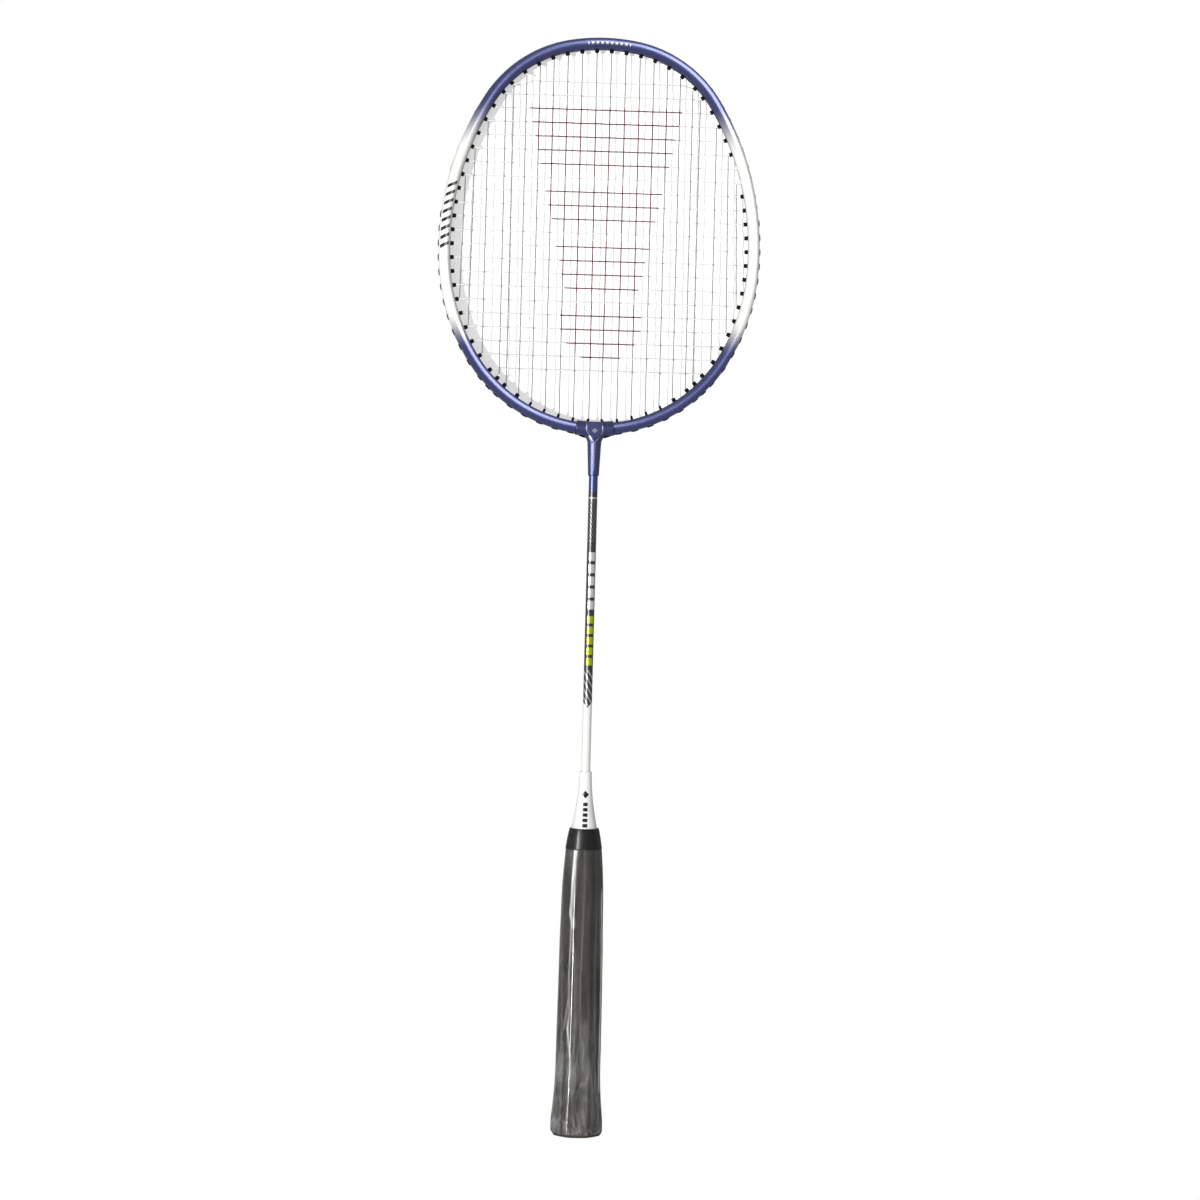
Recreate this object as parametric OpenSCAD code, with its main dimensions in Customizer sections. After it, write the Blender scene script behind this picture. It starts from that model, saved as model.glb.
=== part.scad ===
// Badminton racket: steel shaft, aluminium hoop, woven string bed, taped wooden handle.
// The shaft runs along +Z, the head is wide along X and thin along Y.
// The origin is the centre of the butt's end face.

/* [Overall] */
// Length from the butt to the top of the hoop
total_length = 670; // [660:1:680]

/* [Hoop] */
// Thickness of the hoop tube in the plane of the strings
tube_w = 7; // [6.6:0.1:7.4]
// Depth of the hoop tube across the strings
tube_d = 10; // [9.4:0.1:11]
// Wall of the hoop tube
tube_wall = 0.9; // [0.7:0.1:1]
// Depth of the string groove round the outside of the hoop
groove_depth = 0.7; // [0.5:0.1:0.8]
// Width of the string groove
groove_w = 3.6; // [3.4:0.1:3.8]
// Outer radius of the arc across the top of the hoop
top_arc_r = 116.2; // [115:0.1:118]
// Outer radius of the shoulders
shoulder_arc_r = 76.5; // [76:0.1:77]
// Outer radius of the sides
side_arc_r = 175.2; // [174:0.1:177]
// Outer radius of the lower corners
lower_arc_r = 125; // [124:0.1:126]

/* [Joint] */
// Half the length of the T-joint's sleeve along the hoop
sleeve_half = 11.7; // [11:0.1:12.5]
// Wall of the T-joint's sleeve
sleeve_wall = 0.95; // [0.8:0.05:1.1]
// Length of the T-joint's stem below the hoop
stem_length = 25; // [22:1:28]
// Radius of the stem at its lower lip
stem_lip_r = 3.35; // [3.3:0.05:3.6]
// Radius of the stem below the sleeve
stem_top_r = 4.25; // [4:0.05:4.5]

/* [Shaft] */
// Outer radius of the steel shaft
shaft_r = 2.75; // [2.6:0.05:2.9]
// Wall of the steel shaft
shaft_wall = 0.6; // [0.5:0.1:0.8]
// Height of the shaft's lower end inside the handle
shaft_foot_z = 78; // [70:1:90]

/* [Strings] */
// Radius of the string
string_r = 0.35; // [0.33:0.01:0.35]
// Main strings on each half of the head
mains_per_half = 11; // [11:1:11]
// Pitch of the main strings at the middle of the head
main_pitch = 8.9; // [8.8:0.05:9]
// Reach of the sine rule that closes the main strings up toward the sides
main_reach = 105; // [104:1:106]
// Cross strings
cross_count = 22; // [22:1:22]
// Pitch of the cross strings
cross_pitch = 8.4; // [8.3:0.05:8.5]
// Height of the lowest cross string
lowest_cross_z = 466.5; // [466:0.5:467]

/* [Grommets] */
// Outer radius of a grommet's barrel
barrel_r = 1.1; // [1.05:0.05:1.15]
// Radius of a grommet's bore
bore_r = 0.8; // [0.78:0.01:0.85]
// Radius of a grommet's flange
flange_r = 1.7; // [1.6:0.05:1.75]
// Thickness of a grommet's flange
flange_t = 1.3; // [1.1:0.1:1.4]
// Thickness of a flange on the upper half, which lies flush in the groove
flush_flange_t = 0.7; // [0.6:0.05:0.8]
// How far a grommet's barrel stands out inside the hoop
stub_length = 2.2; // [1.8:0.1:2.6]

/* [Handle] */
// Height of the top of the grip
grip_top_z = 176.5; // [175:0.5:178]
// Thickness of the grip
grip_t = 1.9; // [1.6:0.1:2.2]
// Height of the top of the cone cap
cone_top_z = 222; // [218:1:226]
// Height of the top of the collar
collar_top_z = 187.5; // [186:0.5:189]
// Radius of the cone cap where it meets the collar
cone_base_r = 7.9; // [7.8:0.05:8]
// Radius of the cone cap at the shaft
cone_tip_r = 3.75; // [3.6:0.05:4]
// Gap between the grip and the clear film round it
film_gap = 0.5; // [0.4:0.1:0.7]
// Thickness of the clear film
film_t = 0.2; // [0.15:0.05:0.3]

/* [Hidden] */
$fn = 64;

fit_gap = 0.05;
half_w = tube_w / 2;
cut = 1;

// ---- the hoop's outline: five tangent arcs on each half, from the top to the bottom.
// An angle is measured from +Z toward +X, and is the direction of the outward normal.
arc_ends = [0, 10, 58.4, 94.1, 121.4, 180];
last_arc = 4;

function closing_r() = lower_arc_r + arc_centre(3).x / sin(arc_ends[last_arc]);
function arc_r(i) = [top_arc_r, shoulder_arc_r, side_arc_r, lower_arc_r][i];
function outer_r(i) = i == last_arc ? closing_r() : arc_r(i);
function toward(angle) = [sin(angle), cos(angle)];
function arc_centre(i) = i == 0
    ? [0, total_length - top_arc_r]
    : arc_centre(i - 1) + (outer_r(i - 1) - outer_r(i)) * toward(arc_ends[i]);
function middle_r(i) = outer_r(i) - half_w;
function arc_of(angle) = max([for (i = [0:last_arc]) if (angle >= arc_ends[i]) i]);
function on_hoop(angle) = arc_centre(arc_of(angle)) + middle_r(arc_of(angle)) * toward(angle);

// ---- the string holes: 36 on each half, counted from the top.
holes_per_half = 36;
joint_hole = 36;
first_cross_hole = 7;
last_top_hole = 7;
last_side_hole = 28;
joint_hole_x = 6;
joint_splay = 19;
tip_depth = half_w + stub_length;
joint_tip_depth = half_w + sleeve_wall + 2;
seat = half_w - groove_depth;
joint_seat = half_w + sleeve_wall - 0.25;

function main_x(i) = main_reach * sin(main_pitch / main_reach * 180 / PI * (i - 0.5));
function cross_z(i) = lowest_cross_z + cross_pitch * i;
function tip_r(i) = middle_r(i) - tip_depth;
function inside(angle, i) = angle >= arc_ends[i] && angle < arc_ends[i + 1];
// The hole angles whose inner tips stand at x on the top, at z on the side, or at x below.
function angle_on_top(x) = [for (i = [0:1])
    let (a = asin((x - arc_centre(i).x) / tip_r(i))) if (inside(a, i)) a][0];
function angle_on_side(z) = [for (i = [1:last_arc])
    let (a = acos((z - arc_centre(i).y) / tip_r(i))) if (inside(a, i)) a][0];
function angle_below(x) = [for (i = [3:last_arc])
    let (a = 180 - asin((x - arc_centre(i).x) / tip_r(i))) if (inside(a, i)) a][0];
function hole_angle(k) = k <= last_top_hole
    ? angle_on_top(main_x(k))
    : k <= last_side_hole
        ? angle_on_side(cross_z(last_side_hole - k))
        : k < joint_hole
            ? angle_below(main_x(k == last_side_hole + 1 ? 7.6 : holes_per_half + 1 - k))
            : 180 - asin(joint_hole_x / middle_r(last_arc));
hole_angles = [for (k = [1:holes_per_half]) hole_angle(k)];
hole_spots = [for (a = hole_angles) on_hoop(a)];

function spot(k) = hole_spots[k - 1];
function aim(k) = k == joint_hole ? 180 - joint_splay : hole_angles[k - 1];
function seat_of(k) = k == joint_hole ? joint_seat : seat;
function tip_of(k) = k == joint_hole ? joint_tip_depth : tip_depth;
last_flush_hole = 16;
function flange_of(k) = k <= last_flush_hole ? flush_flange_t : flange_t;

// ---- the strings' routes, in the plane of the head, as [x, z].
turn_gap = 0.02;
tip_clear = 0.4;
string_sides = 6;
string_y = string_r + 0.01;

function along(k, side, d) = let (p = spot(k) + d * toward(aim(k))) [side * p.x, p.y];
function outer_turn(k, side) = along(k, side, seat_of(k) + flange_of(k) + string_r + turn_gap);
function inner_turn(k, side) = along(k, side, -tip_of(k) - tip_clear);
// From the ninth on, each main string uses every second hole.
function top_hole(i) = i < first_spread_main ? i : 2 * i - first_spread_main + 1;
function bottom_hole(i) = holes_per_half + 1 - top_hole(i);
function run(k1, side1, k2, side2) = [
    outer_turn(k1, side1), inner_turn(k1, side1),
    inner_turn(k2, side2), outer_turn(k2, side2)
];
function main_run(i) = i % 2 == 1
    ? run(top_hole(i), 1, bottom_hole(i), 1)
    : run(bottom_hole(i), 1, top_hole(i), 1);
function cross_run(i) = let (k = first_cross_hole + i, side = i % 2 == 0 ? -1 : 1)
    run(k, side, k, -side);
first_spread_main = 9;
main_tail_hole = 24;
first_cross_tail = 6;
last_cross_tail = 29;
function skipped_hole(i) = i % 2 == 0 ? top_hole(i) + 1 : bottom_hole(i) - 1;
function turn_after(i) = i >= first_spread_main - 1 && i < mains_per_half
    ? [outer_turn(skipped_hole(i), 1)]
    : [];
half_main_route = concat(
    [for (i = [1:mains_per_half]) each concat(main_run(i), turn_after(i))],
    [outer_turn(main_tail_hole, 1), inner_turn(main_tail_hole, 1)]
);
last_main_point = len(half_main_route) - 1;
main_route = concat(
    [for (i = [last_main_point:-1:0]) [-half_main_route[i].x, half_main_route[i].y]],
    half_main_route
);
cross_route = concat(
    [inner_turn(first_cross_tail, -1), outer_turn(first_cross_tail, -1)],
    [for (i = [0:cross_count - 1]) each cross_run(i)],
    [outer_turn(last_cross_tail, -1), inner_turn(last_cross_tail, -1)]
);

// ---- the handle: rounded octagons, as [height, half width, how octagonal].
ring_points = 24;
depth_ratio = 0.94;
grip_shape = [
    [0.6, 14.4, 0.5], [2, 15.2, 0.5], [4.5, 15.6, 0.5], [8, 15.4, 0.55], [15, 14.6, 0.6],
    [24, 13.8, 0.7], [36, 13.2, 0.75], [70, 13, 0.8], [110, 12.7, 0.8], [150, 12, 0.75],
    [162, 11.4, 0.6], [grip_top_z, 10.4, 0.3]
];
cap_height = 16;
cap_floor = 2.5;
cap_wall = 1.6;
spigot_r = 6.5;
spigot_top_z = 186.5;
skirt_foot_z = grip_top_z + 0.5;
collar_foot_z = grip_top_z - 1.5;
pin_z = 100;
pin_r = 1;
pin_length = 19;
tack_reach = 20;
tack_z = 22;
badge_r = 8;
badge_t = 0.5;
badge_recess = 0.2;

function reach(half, eight, a) = let (b = (a + 382.5) % 45 - 22.5) half / pow(cos(b), eight);
function ring(z, half, eight) = [for (j = [0:ring_points - 1])
    let (a = 360 * j / ring_points, r = reach(half, eight, a))
    [r * cos(a), depth_ratio * r * sin(a), z]];
function grown(shape, by) = [for (s = shape) [s[0], s[1] + by, s[2]]];
function between(shape, low, high) = let (
        inner = [for (s = shape) if (s[0] > low && s[0] < high) s]
    ) concat([at(shape, low)], inner, [at(shape, high)]);
function at(shape, z) = [z,
    lookup(z, [for (s = shape) [s[0], s[1]]]),
    lookup(z, [for (s = shape) [s[0], s[2]]])];

module loft(shape) {
    count = len(shape);
    top = (count - 1) * ring_points;
    polyhedron(
        points = [for (s = shape) each ring(s[0], s[1], s[2])],
        faces = concat(
            [[for (j = [0:ring_points - 1]) j]],
            [for (i = [0:count - 2], j = [0:ring_points - 1])
                let (a = i * ring_points, n = (j + 1) % ring_points)
                [a + j, a + ring_points + j, a + ring_points + n, a + n]],
            [[for (j = [ring_points - 1:-1:0]) top + j]]
        ),
        convexity = 4
    );
}

// A string swept along a flat route: its rings stand across the bends.
function unit(v) = v / norm(v);
function heading(route, i) = unit(route[i + 1] - route[i]);
function ring_heading(route, i) = i == 0
    ? heading(route, 0)
    : i == len(route) - 1
        ? heading(route, i - 1)
        : unit(heading(route, i - 1) + heading(route, i));
function mitre(route, i) = 1 / (ring_heading(route, i) * heading(route, max(i - 1, 0)));

module swept_string(route, y) {
    count = len(route);
    polyhedron(
        points = [for (i = [0:count - 1], j = [0:string_sides - 1])
            let (
                t = ring_heading(route, i),
                a = 360 * j / string_sides,
                out = string_r * cos(a) * mitre(route, i)
            )
            [route[i].x - t.y * out, y + string_r * sin(a), route[i].y + t.x * out]],
        faces = concat(
            [[for (j = [string_sides - 1:-1:0]) j]],
            [for (i = [0:count - 2], j = [0:string_sides - 1])
                let (a = i * string_sides, n = (j + 1) % string_sides)
                [a + j, a + n, a + string_sides + n, a + string_sides + j]],
            [[for (j = [0:string_sides - 1]) (count - 1) * string_sides + j]]
        ),
        convexity = 20
    );
}

// ---- flat sections of the hoop: x is outward from the hoop's middle line, y is depth.
module stadium(r) {
    offset_y = tube_d / 2 - half_w;
    translate([0, offset_y]) circle(r);
    translate([0, -offset_y]) circle(r);
    square([2 * r, 2 * offset_y], center = true);
}

module hollow_section(shrink) {
    limit = half_w - groove_depth - tube_wall - shrink;
    intersection() {
        stadium(half_w - tube_wall - shrink);
        translate([limit - tube_w, -tube_d]) square([tube_w, 2 * tube_d]);
    }
}

module tube_section() {
    difference() {
        stadium(half_w);
        translate([half_w - groove_depth, -groove_w / 2]) square([groove_depth + cut, groove_w]);
        hollow_section(0);
    }
}

// Turns a flat section along one arc of the right half, between two angles.
module bend(i, from, to) {
    translate([arc_centre(i).x, 0, arc_centre(i).y])
        rotate([90, 0, 0])
            rotate([0, 0, 90 - to])
                rotate_extrude(angle = to - from, $fn = 180)
                    translate([middle_r(i), 0]) children();
}

// Turns a flat section along the bottom arc, the same way to each side of the middle.
module bend_bottom(half_angle) {
    bend(last_arc, 180 - half_angle, 180 + half_angle) children();
}

function bend_angle(i, length) = length / middle_r(i) * 180 / PI;
function bottom_angle(length) = bend_angle(last_arc, length);

module at_hole(k, side) {
    mirror([side < 0 ? 1 : 0, 0, 0])
        translate([spot(k).x, 0, spot(k).y])
            rotate([0, aim(k), 0]) children();
}

module both_sides() {
    children();
    mirror([1, 0, 0]) children();
}

// The hoop's bends stand a hair apart and are joined by pegs inside the wall.
hoop_gap = 1;
bend_gap = 0.02;
peg_r = 0.3;
peg_length = 3;

module hoop_bend(i, from, to) {
    bend(i, from + bend_angle(i, bend_gap / 2), to - bend_angle(i, bend_gap / 2)) tube_section();
}

module wall_pegs(angle) {
    front = tube_d / 2 - tube_wall / 2;
    inner = half_w - tube_wall / 2;
    translate([on_hoop(angle).x, 0, on_hoop(angle).y])
        rotate([0, angle, 0])
            for (at = [[0, front], [0, -front], [-inner, 0], [inner - groove_depth, 0]])
                translate([0, at[1], at[0]])
                    rotate([0, 90, 0]) cylinder(r = peg_r, h = peg_length, center = true);
}

module head_frame() {
    color([0.33, 0.35, 0.62]) difference() {
        union() {
            hoop_bend(0, -arc_ends[1], arc_ends[1]);
            both_sides() {
                for (i = [1:last_arc - 1]) hoop_bend(i, arc_ends[i], arc_ends[i + 1]);
                hoop_bend(last_arc, arc_ends[last_arc], 180 - bend_angle(last_arc, hoop_gap / 2));
                for (i = [1:last_arc]) wall_pegs(arc_ends[i]);
            }
        }
        for (k = [1:holes_per_half], side = [-1, 1])
            at_hole(k, side) cylinder(r = barrel_r + fit_gap, h = 3 * tube_w, center = true);
    }
}

module hoop_spigot() {
    color([0.7, 0.7, 0.72]) difference() {
        bend_bottom(bottom_angle(10)) hollow_section(fit_gap);
        for (side = [-1, 1])
            at_hole(joint_hole, side)
                cylinder(r = barrel_r + fit_gap, h = 3 * tube_w, center = true);
    }
}

// ---- the T-joint
bottom_z = arc_centre(last_arc).y - outer_r(last_arc);
stem_foot_z = bottom_z - stem_length;
web_r = 5.5;
web_depth = 6.4;

module stem_web() {
    reach_x = stem_top_r + web_r;
    rotate([90, 0, 0])
        linear_extrude(web_depth, center = true)
            difference() {
                translate([-reach_x, bottom_z - web_r]) square([2 * reach_x, web_r + 1.2]);
                for (side = [-1, 1])
                    translate([side * reach_x, bottom_z - web_r]) circle(web_r);
            }
}

module t_joint() {
    sleeve_r = half_w + sleeve_wall;
    step = 1.6;
    color([0.3, 0.32, 0.6]) difference() {
        union() {
            bend_bottom(bottom_angle(sleeve_half - step)) stadium(sleeve_r);
            bend_bottom(bottom_angle(sleeve_half)) stadium(sleeve_r - 0.4);
            stem_web();
            translate([0, 0, stem_foot_z])
                cylinder(r1 = stem_lip_r, r2 = stem_top_r, h = stem_length - 2);
            translate([0, 0, bottom_z - 2.5]) cylinder(r = stem_top_r, h = 3.5);
        }
        bend_bottom(bottom_angle(sleeve_half + cut)) stadium(half_w + fit_gap);
        translate([0, 0, stem_foot_z - cut])
            cylinder(r = shaft_r + fit_gap, h = stem_length - 3 + cut);
        for (side = [-1, 1]) at_hole(joint_hole, side) {
            cylinder(r = barrel_r + fit_gap, h = 3 * tube_w, center = true);
            translate([0, 0, joint_seat]) cylinder(r = flange_r + fit_gap, h = 4);
        }
    }
}

// ---- shaft and handle
shaft_top_z = bottom_z - 3.2;

module shaft() {
    color([0.82, 0.82, 0.84]) difference() {
        translate([0, 0, shaft_foot_z]) cylinder(r = shaft_r, h = shaft_top_z - shaft_foot_z);
        translate([0, 0, shaft_foot_z - cut])
            cylinder(r = shaft_r - shaft_wall, h = shaft_top_z - shaft_foot_z + 2 * cut);
        translate([0, 0, pin_z]) rotate([0, 90, 0])
            cylinder(r = pin_r + fit_gap, h = 4 * shaft_r, center = true);
    }
}

module cone_cap() {
    steps = 12;
    flare = 1.9;
    curve = [for (i = [0:steps]) let (t = i / steps)
        [cone_tip_r + (cone_base_r - cone_tip_r) * pow(t, flare),
            cone_top_z - t * (cone_top_z - collar_top_z)]];
    roof_z = spigot_top_z + 0.3;
    color("white") rotate_extrude() polygon(concat(
        curve,
        [
            [cone_base_r, skirt_foot_z],
            [spigot_r + fit_gap, skirt_foot_z],
            [spigot_r + fit_gap, roof_z],
            [shaft_r + fit_gap, roof_z],
            [shaft_r + fit_gap, cone_top_z]
        ]
    ));
}

core_shape = grown(grip_shape, -grip_t - fit_gap);

module handle_core() {
    color([0.78, 0.62, 0.42]) difference() {
        union() {
            loft(between(core_shape, cap_height + fit_gap, grip_top_z - fit_gap));
            loft(between(grown(core_shape, -cap_wall - fit_gap), cap_floor + fit_gap, cap_height + 1));
            translate([0, 0, grip_top_z - 1]) cylinder(r = spigot_r, h = spigot_top_z - grip_top_z + 1);
        }
        translate([0, 0, shaft_foot_z - 1]) cylinder(r = shaft_r + fit_gap, h = grip_top_z);
        translate([0, 0, pin_z]) rotate([0, 90, 0])
            cylinder(r = pin_r + fit_gap, h = 2 * tack_reach, center = true);
        translate([-tack_reach, 0, tack_z]) rotate([0, 90, 0]) tack_shape(fit_gap);
    }
}

module handle_pin() {
    color([0.6, 0.6, 0.62]) translate([0, 0, pin_z]) rotate([0, 90, 0])
        cylinder(r = pin_r, h = pin_length, center = true);
}

// The tack's profile along its own axis, from outside the handle inward.
module tack_shape(grow) {
    head_depth = tack_reach - at(core_shape, tack_z)[1] + 0.45;
    translate([0, 0, grow > 0 ? 0 : head_depth])
        cylinder(r = 2.2 + grow, h = grow > 0 ? head_depth + 0.6 : 0.6);
    translate([0, 0, head_depth + 0.5]) cylinder(r = 0.6 + grow, h = 7.5);
}

module grip_tack() {
    color([0.6, 0.6, 0.62]) translate([-tack_reach, 0, tack_z])
        rotate([0, 90, 0]) tack_shape(0);
}

module butt_cap() {
    color([0.12, 0.12, 0.13]) difference() {
        loft(concat([[0, at(core_shape, 2)[1] - 0.6, 0.5]],
            between(core_shape, 0.8, cap_height - fit_gap)));
        loft(between(grown(core_shape, -cap_wall), cap_floor, cap_height + cut));
        translate([0, 0, -cut]) cylinder(r = badge_r + fit_gap, h = cut + badge_t + badge_recess);
    }
}

module butt_badge() {
    color([0.75, 0.75, 0.77]) translate([0, 0, badge_recess])
        cylinder(r = badge_r, h = badge_t - fit_gap);
}

module grip_wrap() {
    color([0.22, 0.21, 0.2]) difference() {
        loft(grip_shape);
        loft(concat([[0, grip_shape[0][1] - grip_t, 0.5]],
            grown(between(grip_shape, 0.7, grip_top_z), -grip_t),
            [[grip_top_z + cut, at(grip_shape, grip_top_z)[1] - grip_t, 0.3]]));
    }
}

module grip_collar() {
    color([0.13, 0.13, 0.14]) difference() {
        loft([[collar_foot_z, 11.2, 0.3], [grip_top_z, 11, 0.3], [collar_top_z, 9, 0.1]]);
        loft(between(concat(grown(grip_shape, fit_gap), [[grip_top_z + cut, 10, 0.3]]),
            collar_foot_z - cut, grip_top_z + fit_gap));
        translate([0, 0, grip_top_z])
            cylinder(r = cone_base_r + fit_gap, h = collar_top_z - grip_top_z + cut);
    }
}

module film_sleeve() {
    foot_z = 2.5;
    head_z = collar_foot_z - 0.3;
    color([0.9, 0.92, 0.94, 0.4]) difference() {
        loft(between(grown(grip_shape, film_gap + film_t), foot_z, head_z));
        loft(concat([[foot_z - cut, at(grip_shape, foot_z)[1] + film_gap, 0.5]],
            between(grown(grip_shape, film_gap), foot_z, head_z),
            [[head_z + cut, at(grip_shape, head_z)[1] + film_gap, 0.3]]));
    }
}

// ---- grommets: a flange in the groove, a barrel through both walls, and a bore
module grommet(k) {
    length = seat_of(k) + tip_of(k);
    difference() {
        union() {
            translate([0, 0, seat_of(k)]) cylinder(r = flange_r, h = flange_of(k));
            translate([0, 0, -tip_of(k)]) cylinder(r = barrel_r, h = length + 0.5);
        }
        translate([0, 0, -tip_of(k) - cut])
            cylinder(r = bore_r, h = length + flange_of(k) + 2 * cut);
    }
}

module grommet_row(first, last, sides) {
    for (k = [first:last], side = sides) at_hole(k, side) grommet(k);
}

grommet_black = [0.07, 0.07, 0.08];
tie_off_holes = [13, 14];

module top_grommets() { color(grommet_black) grommet_row(1, 4, [-1, 1]); }
module left_shoulder_grommets() { color(grommet_black) grommet_row(5, 11, [-1]); }
module right_shoulder_grommets() { color(grommet_black) grommet_row(5, 11, [1]); }
module left_side_grommets() { color(grommet_black) grommet_row(12, 25, [-1]); }
module right_side_grommets() {
    color(grommet_black) {
        grommet_row(12, tie_off_holes[0] - 1, [1]);
        grommet_row(tie_off_holes[1] + 1, 25, [1]);
    }
}
module left_lower_grommets() { color(grommet_black) grommet_row(26, 35, [-1]); }
module right_lower_grommets() { color(grommet_black) grommet_row(26, 35, [1]); }
module joint_grommets() { color(grommet_black) grommet_row(joint_hole, joint_hole, [-1, 1]); }
module tie_off_grommets() {
    color([0.93, 0.93, 0.93]) grommet_row(tie_off_holes[0], tie_off_holes[1], [1]);
}

// ---- strings
module main_string() { color("white") swept_string(main_route, string_y); }
module cross_string() { color("white") swept_string(cross_route, -string_y); }

knot_r = 0.85;
knot_y = 1.3;

module knot(k, side, y) {
    p = along(k, side, -tip_of(k) - tip_clear - 0.9);
    translate([p.x, y, p.y]) sphere(knot_r, $fn = 32);
}

module main_knots() {
    color("white") for (side = [-1, 1]) knot(main_tail_hole, side, knot_y);
}

module cross_knots() {
    color("white") {
        knot(first_cross_tail, -1, -knot_y);
        knot(last_cross_tail, -1, -knot_y);
    }
}

head_frame();
hoop_spigot();
t_joint();
shaft();
cone_cap();
handle_core();
handle_pin();
butt_cap();
butt_badge();
grip_wrap();
grip_tack();
grip_collar();
film_sleeve();
top_grommets();
left_shoulder_grommets();
right_shoulder_grommets();
left_side_grommets();
right_side_grommets();
left_lower_grommets();
right_lower_grommets();
joint_grommets();
tie_off_grommets();
main_string();
cross_string();
main_knots();
cross_knots();
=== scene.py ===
"""Badminton racket: lacquered hoop, woven string bed, T-joint, printed shaft and filmed grip.

Pieces are shaped in millimetres in the frame of the CAD, and brought to metres when finished.
"""
import math

import bmesh
import bpy
from mathutils import Matrix, Vector, noise


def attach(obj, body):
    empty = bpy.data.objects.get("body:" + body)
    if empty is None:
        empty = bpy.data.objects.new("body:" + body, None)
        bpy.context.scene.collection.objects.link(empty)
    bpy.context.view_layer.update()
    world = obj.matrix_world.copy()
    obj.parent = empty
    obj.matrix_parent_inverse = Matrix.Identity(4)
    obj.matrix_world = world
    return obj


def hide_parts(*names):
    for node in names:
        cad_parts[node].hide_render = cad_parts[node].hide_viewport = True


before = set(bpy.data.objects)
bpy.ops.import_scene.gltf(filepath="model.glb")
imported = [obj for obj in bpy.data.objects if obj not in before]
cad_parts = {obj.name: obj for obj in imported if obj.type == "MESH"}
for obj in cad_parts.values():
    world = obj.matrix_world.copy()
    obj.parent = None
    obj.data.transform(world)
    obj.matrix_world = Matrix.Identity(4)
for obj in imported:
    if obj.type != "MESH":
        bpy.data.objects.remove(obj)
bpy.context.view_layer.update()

MM = 0.001
BODY = "root"

# ---- the hoop's outline: five tangent arcs on each half, angles from +Z toward +X
TOTAL_LENGTH = 670.0
TUBE_W = 7.0
TUBE_D = 10.0
HALF_W = TUBE_W / 2
GROOVE_DEPTH = 0.7
GROOVE_W = 3.6
ARC_ENDS = [0, 10, 58.4, 94.1, 121.4, 180]
LAST_ARC = 4
OUTER_R = [116.2, 76.5, 175.2, 125.0]

# ---- string holes, counted from the top on each half
HOLES = 36
JOINT_HOLE = 36
FIRST_CROSS_HOLE = 7
LAST_TOP_HOLE = 7
LAST_SIDE_HOLE = 28
JOINT_HOLE_X = 6.0
JOINT_SPLAY = 19
SLEEVE_HALF = 11.7
SLEEVE_WALL = 0.95
SEAT = HALF_W - GROOVE_DEPTH
JOINT_SEAT = HALF_W + SLEEVE_WALL - 0.25
TIP_DEPTH = HALF_W + 2.2
JOINT_TIP_DEPTH = HALF_W + SLEEVE_WALL + 2
LAST_FLUSH_HOLE = 16
LAST_STOUT_HOLE = 31
STRING_LEVEL = 0.85

# ---- strings
STRING_R = 0.35
STRING_Y = STRING_R + 0.01
MAINS = 11
CROSSES = 22
LOWEST_CROSS_Z = 466.5
CROSS_PITCH = 8.4
MAIN_PITCH = 8.9
MAIN_REACH = 105.0
FIRST_SPREAD_MAIN = 9
INWARD_MAIN = 7.6
MAIN_TAIL_HOLE = 24
FIRST_CROSS_TAIL = 6
LAST_CROSS_TAIL = 29
ORDER = [*range(-MAINS, 0), *range(1, MAINS + 1)]

# ---- shaft and handle
STEM_LENGTH = 25.0
CONE_TOP_Z = 222.0
COLLAR_TOP_Z = 187.5
GRIP_TOP_Z = 176.5
DEPTH_RATIO = 0.94
GRIP_SHAPE = [
    (0.6, 14.4, 0.5), (2, 15.2, 0.5), (4.5, 15.6, 0.5), (8, 15.4, 0.55), (15, 14.6, 0.6),
    (24, 13.8, 0.7), (36, 13.2, 0.75), (70, 13, 0.8), (110, 12.7, 0.8), (150, 12, 0.75),
    (162, 11.4, 0.6), (GRIP_TOP_Z, 10.4, 0.3),
]


def toward(angle):
    """The unit vector in the head's plane, (X, Z), at an angle from +Z toward +X."""
    turn = math.radians(angle)
    return Vector((math.sin(turn), math.cos(turn)))


centres = [Vector((0.0, TOTAL_LENGTH - OUTER_R[0]))]
for arc in range(1, LAST_ARC):
    centres.append(centres[-1] + (OUTER_R[arc - 1] - OUTER_R[arc]) * toward(ARC_ENDS[arc]))
OUTER_R.append(OUTER_R[-1] + centres[-1].x / math.sin(math.radians(ARC_ENDS[LAST_ARC])))
centres.append(centres[-1] + (OUTER_R[3] - OUTER_R[4]) * toward(ARC_ENDS[LAST_ARC]))
MIDDLE_R = [outer - HALF_W for outer in OUTER_R]
BOTTOM_Z = centres[LAST_ARC].y - OUTER_R[LAST_ARC]
STEM_FOOT_Z = BOTTOM_Z - STEM_LENGTH


def arc_of(angle):
    return max(i for i in range(LAST_ARC + 1) if angle >= ARC_ENDS[i])


def on_hoop(angle):
    arc = arc_of(angle)
    return centres[arc] + MIDDLE_R[arc] * toward(angle)


def within(angle, arc):
    return ARC_ENDS[arc] <= angle < ARC_ENDS[arc + 1]


def main_x(i):
    return MAIN_REACH * math.sin(MAIN_PITCH / MAIN_REACH * (i - 0.5))


def cross_z(i):
    return LOWEST_CROSS_Z + CROSS_PITCH * i


def line_of(k):
    """The place, counted in main strings, of a top or lower hole. The first lower hole stands
    a little inward, clear of the last side hole."""
    return INWARD_MAIN if k == LAST_SIDE_HOLE + 1 else min(k, HOLES + 1 - k)


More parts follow.
